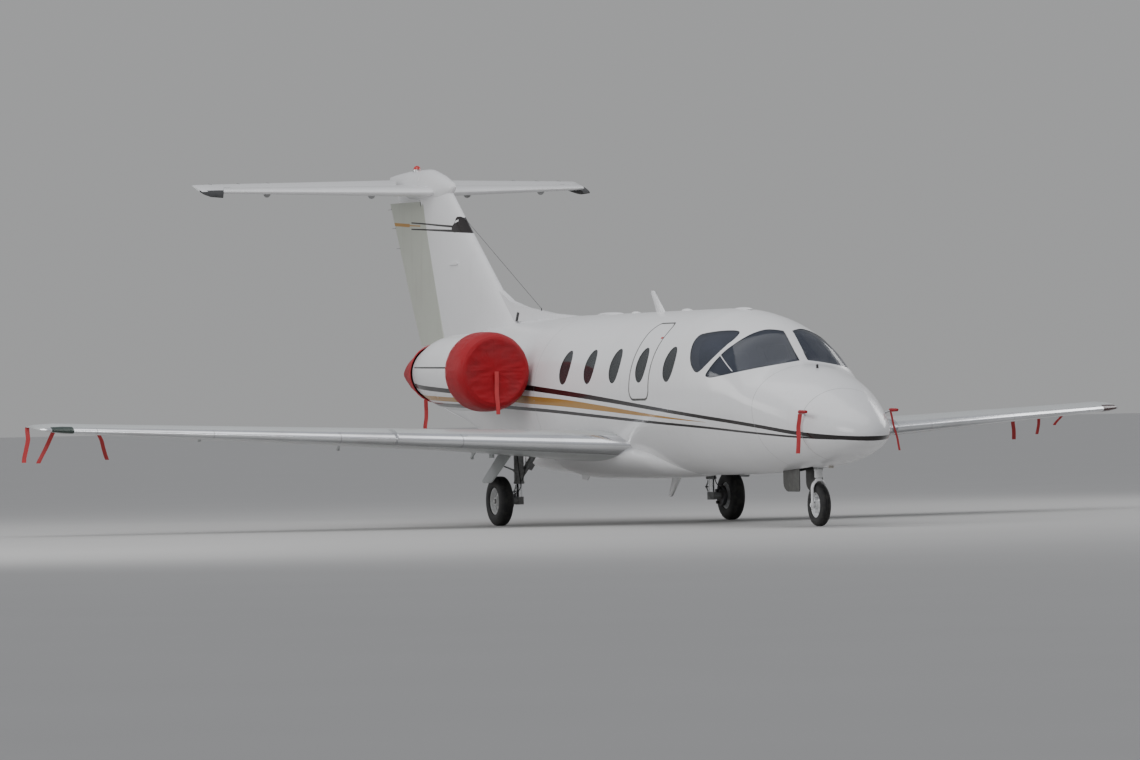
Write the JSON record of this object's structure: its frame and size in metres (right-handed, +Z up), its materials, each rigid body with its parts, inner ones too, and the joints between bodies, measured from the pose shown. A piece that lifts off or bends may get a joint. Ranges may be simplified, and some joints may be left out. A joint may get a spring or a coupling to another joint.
{
  "type": "business jet",
  "caption": "Light twin-engine business jet with a T-tail, parked on its landing gear, with a hollow cabin, hinged door, control surfaces and turning wheels.",
  "frame": {"origin": "on the ground, under the middle of the length and width of the parked aircraft", "axes": "+X towards the nose, +Y towards the port wing tip, +Z up"},
  "size_m": [14.7501, 13.25, 4.238],
  "materials": {
    "white_paint": "gloss",
    "grey_paint": "satin",
    "polished_metal": "polished",
    "gear_steel": "satin",
    "rim_paint": "satin",
    "tyre_rubber": "matt",
    "red_vinyl": "matt",
    "cabin_glass": "polished",
    "seat_leather": "satin",
    "carpet": "matt",
    "panel_black": "matt"
  },
  "bodies": {
    "airframe": {"belly_fairing": "white_paint", "cabin_floor": "carpet", "cabin_shell": "white_paint", "cabin_windows_left": "cabin_glass", "cabin_windows_right": "cabin_glass", "emergency_exit": "white_paint", "engine_left": "gear_steel", "engine_right": "gear_steel", "exhaust_cover_left": "red_vinyl", "exhaust_cover_right": "red_vinyl", "exit_window": "cabin_glass", "fin": "white_paint", "forward_window_right": "cabin_glass", "instrument_panel": "panel_black", "intake_cover_left": "red_vinyl", "intake_cover_right": "red_vinyl", "leading_edge_left": "polished_metal", "leading_edge_right": "polished_metal", "main_gear_door_left": "grey_paint", "main_gear_door_right": "grey_paint", "main_gear_leg_left": "gear_steel", "main_gear_leg_right": "gear_steel", "nacelle_left": "white_paint", "nacelle_right": "white_paint", "nose_cone": "white_paint", "nose_gear_door_left": "white_paint", "nose_gear_door_right": "white_paint", "nose_gear_leg": "gear_steel", "nose_section": "white_paint", "pilot_seat_left": "seat_leather", "pilot_seat_right": "seat_leather", "pylon_left": "grey_paint", "pylon_right": "grey_paint", "quarter_window_left": "cabin_glass", "quarter_window_right": "cabin_glass", "stabilizer": "white_paint", "tail_cone": "white_paint", "windshield_left": "cabin_glass", "windshield_right": "cabin_glass", "wing_left": "grey_paint", "wing_right": "grey_paint"},
    "cabin_door": {"cabin_door": "white_paint", "door_window": "cabin_glass"},
    "rudder": {"rudder": "grey_paint"},
    "nose_steering": {"nose_fork": "white_paint"},
    "nose_wheel": {"nose_wheel": "rim_paint", "nose_tyre": "tyre_rubber"},
    "elevator_left": {"elevator_left": "white_paint"},
    "flap_left": {"flap_left": "white_paint"},
    "roll_trim_left": {"roll_trim_left": "white_paint"},
    "spoiler_left": {"spoiler_left": "white_paint"},
    "main_wheel_left": {"main_wheel_left": "rim_paint", "main_tyre_left": "tyre_rubber"},
    "elevator_right": {"elevator_right": "white_paint"},
    "flap_right": {"flap_right": "white_paint"},
    "roll_trim_right": {"roll_trim_right": "white_paint"},
    "spoiler_right": {"spoiler_right": "white_paint"},
    "main_wheel_right": {"main_wheel_right": "rim_paint", "main_tyre_right": "tyre_rubber"}
  },
  "joints": [
    {"name": "elevator_hinge_left", "type": "hinge", "parent": "airframe", "child": "elevator_left", "pos_m": [-6.2624, 0.262, 4.01039], "axis": [-0.3474, 0.9376, 0.0171], "range_deg": [-26, 9]},
    {"name": "elevator_hinge_right", "type": "hinge", "parent": "airframe", "child": "elevator_right", "pos_m": [-6.2624, -0.262, 4.01039], "axis": [0.3474, 0.9376, -0.0171], "range_deg": [-26, 9]},
    {"name": "flap_hinge_left", "type": "hinge", "parent": "airframe", "child": "flap_left", "pos_m": [-0.075, 0.905, 0.715], "axis": [0.1517, -0.9848, -0.0841], "range_deg": [0, 30]},
    {"name": "flap_hinge_right", "type": "hinge", "parent": "airframe", "child": "flap_right", "pos_m": [-0.075, -0.905, 0.715], "axis": [-0.1517, -0.9848, 0.0841], "range_deg": [0, 30]},
    {"name": "roll_trim_hinge_left", "type": "hinge", "parent": "airframe", "child": "roll_trim_left", "pos_m": [-0.7578, 5.1, 1.15892], "axis": [-0.2192, 0.9742, 0.0539], "range_deg": [-15, 15]},
    {"name": "roll_trim_hinge_right", "type": "hinge", "parent": "airframe", "child": "roll_trim_right", "pos_m": [-0.7578, -5.1, 1.15892], "axis": [0.2192, 0.9742, -0.0539], "range_deg": [-15, 15]},
    {"name": "spoiler_hinge_left", "type": "hinge", "parent": "airframe", "child": "spoiler_left", "pos_m": [0.16872, 2.47894, 1.07314], "axis": [-0.2603, 0.9643, 0.0489], "range_deg": [0, 60]},
    {"name": "spoiler_hinge_right", "type": "hinge", "parent": "airframe", "child": "spoiler_right", "pos_m": [0.16872, -2.47894, 1.07314], "axis": [0.2603, 0.9643, -0.0489], "range_deg": [0, 60]},
    {"name": "rudder_hinge", "type": "hinge", "parent": "airframe", "child": "rudder", "pos_m": [-5.268, 0, 2.15], "axis": [-0.3519, 0, 0.9361], "range_deg": [-33, 17]},
    {"name": "door_hinge", "type": "hinge", "parent": "airframe", "child": "cabin_door", "pos_m": [3.812, 0.872, 1.5], "axis": [0, 0, -1], "range_deg": [0, 100]},
    {"name": "nose_steering", "type": "hinge", "parent": "airframe", "child": "nose_steering", "pos_m": [5.92, 0, 0.5], "axis": [0, 0, 1], "range_deg": [-50, 50]},
    {"name": "nose_wheel_spin", "type": "hinge", "parent": "nose_steering", "child": "nose_wheel", "pos_m": [5.92, 0, 0.2285], "axis": [0, 1, 0], "continuous": true},
    {"name": "main_wheel_spin_left", "type": "hinge", "parent": "airframe", "child": "main_wheel_left", "pos_m": [0.06, 1.42, 0.28], "axis": [0, 1, 0], "continuous": true},
    {"name": "main_wheel_spin_right", "type": "hinge", "parent": "airframe", "child": "main_wheel_right", "pos_m": [0.06, -1.42, 0.28], "axis": [0, 1, 0], "continuous": true}
  ],
  "couplings": [
    {"joint": "elevator_hinge_right", "follows": "elevator_hinge_left", "ratio": 1},
    {"joint": "flap_hinge_right", "follows": "flap_hinge_left", "ratio": 1},
    {"joint": "roll_trim_hinge_right", "follows": "roll_trim_hinge_left", "ratio": -1}
  ]
}
